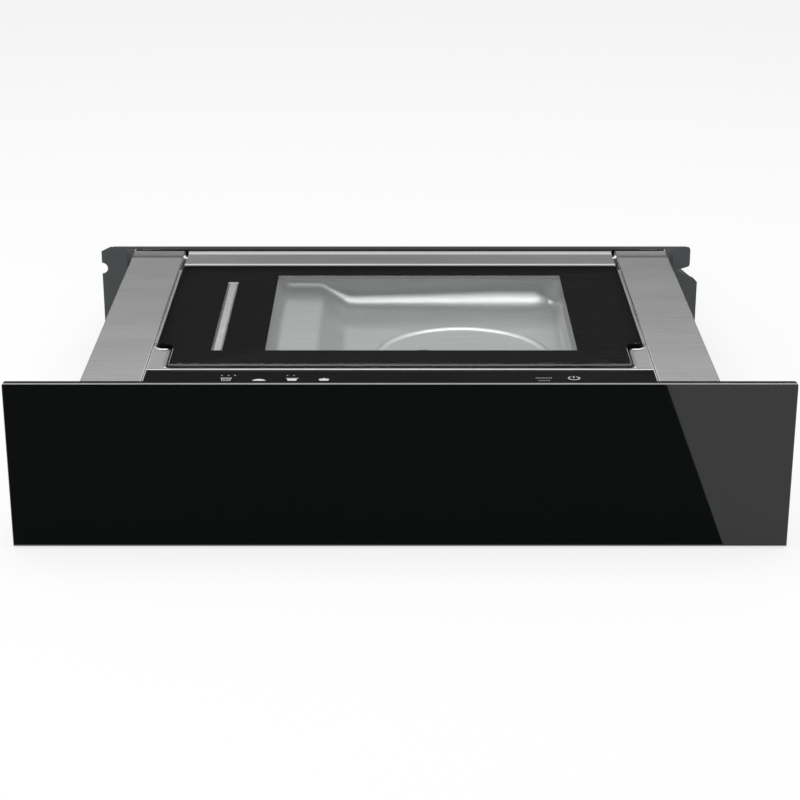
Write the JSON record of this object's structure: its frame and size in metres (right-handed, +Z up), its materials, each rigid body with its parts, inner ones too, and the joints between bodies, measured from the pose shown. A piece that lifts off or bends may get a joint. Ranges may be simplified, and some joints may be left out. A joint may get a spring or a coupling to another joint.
{
  "type": "vacuum sealing drawer",
  "caption": "Built-in vacuum sealing drawer on telescopic slides, with a glass lid over a pressed steel chamber, a lifting sealing bar and a push latch.",
  "frame": {"origin": "foot of the housing on its middle line, in the front plane of the ears", "axes": "+X to the right seen from the front, +Y into the niche (the way the drawer closes), +Z up"},
  "size_m": [0.597, 0.7995, 0.1355],
  "materials": {
    "panel_glass": "black printed glass, polished",
    "control_glass": "black glass, satin",
    "lid_glass": "clear toughened glass, polished edges",
    "print": "black ceramic print",
    "steel": "brushed along X",
    "chamber_steel": "pressed, satin",
    "housing_paint": "dark grey powder coat",
    "cover_black": "black powder coat",
    "galvanised": "zinc coated sheet",
    "slide_steel": "zinc plated",
    "cage_plastic": "natural nylon",
    "fastener": "bright zinc",
    "seal_rubber": "black silicone",
    "counter_silicone": "light silicone",
    "bar_alloy": "satin anodised",
    "tape": "woven coated tape",
    "clamp_brass": "plain",
    "cylinder_alloy": "turned",
    "motor_paint": "black",
    "filter_plastic": "black",
    "pipe": "grey nylon pipe",
    "core_iron": "laminated core",
    "board": "circuit board",
    "latch_plastic": "grey nylon"
  },
  "bodies": {
    "housing": {"housing_base": "housing_paint", "housing_side_left": "housing_paint", "housing_side_right": "housing_paint", "front_crossbar": "housing_paint", "slide_bracket_left": "galvanised", "slide_bracket_right": "galvanised", "slide_outer_left": "slide_steel", "slide_outer_right": "slide_steel", "latch_housing": "latch_plastic"},
    "middle_members": {"slide_middle_left": "slide_steel", "slide_middle_right": "slide_steel"},
    "outer_cages": {"slide_cage_outer_left": "cage_plastic", "slide_cage_outer_right": "cage_plastic"},
    "inner_cages": {"slide_cage_inner_left": "cage_plastic", "slide_cage_inner_right": "cage_plastic"},
    "lid": {"lid_glass": "lid_glass", "lid_print": "print", "counter_bar": "counter_silicone", "counter_bar_clip": "bar_alloy", "hinge_beam": "steel", "hinge_pins": "fastener"},
    "seal_bar": {"sealing_bar": "bar_alloy", "heater_strip": "tape", "heater_clamps": "clamp_brass", "lift_rods": "bar_alloy"},
    "plunger": {"latch_plunger": "latch_plastic"},
    "drawer": {"carrier_screws": "fastener", "chamber": "chamber_steel", "chamber_seal": "seal_rubber", "control_board": "board", "control_glass": "control_glass", "cover_screws": "fastener", "deck": "steel", "front_carrier": "galvanised", "front_glass": "panel_glass", "hinge_bracket_left": "galvanised", "hinge_bracket_right": "galvanised", "inner_wall_left": "galvanised", "inner_wall_right": "galvanised", "lift_cylinders": "cylinder_alloy", "mains_inlet": "filter_plastic", "panel_buffers": "seal_rubber", "power_board": "board", "pump_head": "cylinder_alloy", "pump_motor": "motor_paint", "pump_mounts": "seal_rubber", "pump_plate": "galvanised", "rear_cover": "cover_black", "side_cover_left": "steel", "side_cover_right": "steel", "slide_inner_left": "slide_steel", "slide_inner_right": "slide_steel", "suction_filter": "filter_plastic", "transformer": "core_iron", "tray": "galvanised", "vacuum_pipe": "pipe", "vent_valve": "filter_plastic"}
  },
  "joints": [
    {"name": "drawer_slide", "type": "slide", "parent": "housing", "child": "drawer", "axis": [0, 1, 0], "range_m": [0, 0.36]},
    {"name": "middle_slide", "type": "slide", "parent": "housing", "child": "middle_members", "axis": [0, 1, 0], "range_m": [0, 0.18]},
    {"name": "outer_cage_slide", "type": "slide", "parent": "housing", "child": "outer_cages", "axis": [0, 1, 0], "range_m": [0, 0.09]},
    {"name": "inner_cage_slide", "type": "slide", "parent": "housing", "child": "inner_cages", "axis": [0, 1, 0], "range_m": [0, 0.27]},
    {"name": "lid_hinge", "type": "hinge", "parent": "drawer", "child": "lid", "pos_m": [0, -0.009, 0.1196], "axis": [-1, 0, 0], "range_deg": [0, 75]},
    {"name": "bar_lift", "type": "slide", "parent": "drawer", "child": "seal_bar", "axis": [0, 0, 1], "range_m": [0, 0.006]},
    {"name": "latch_press", "type": "slide", "parent": "housing", "child": "plunger", "axis": [0, 1, 0], "range_m": [0, 0.005], "stiffness_N_per_m": 400}
  ],
  "couplings": [
    {"joint": "middle_slide", "follows": "drawer_slide", "ratio": 0.5},
    {"joint": "outer_cage_slide", "follows": "drawer_slide", "ratio": 0.25},
    {"joint": "inner_cage_slide", "follows": "drawer_slide", "ratio": 0.75}
  ]
}
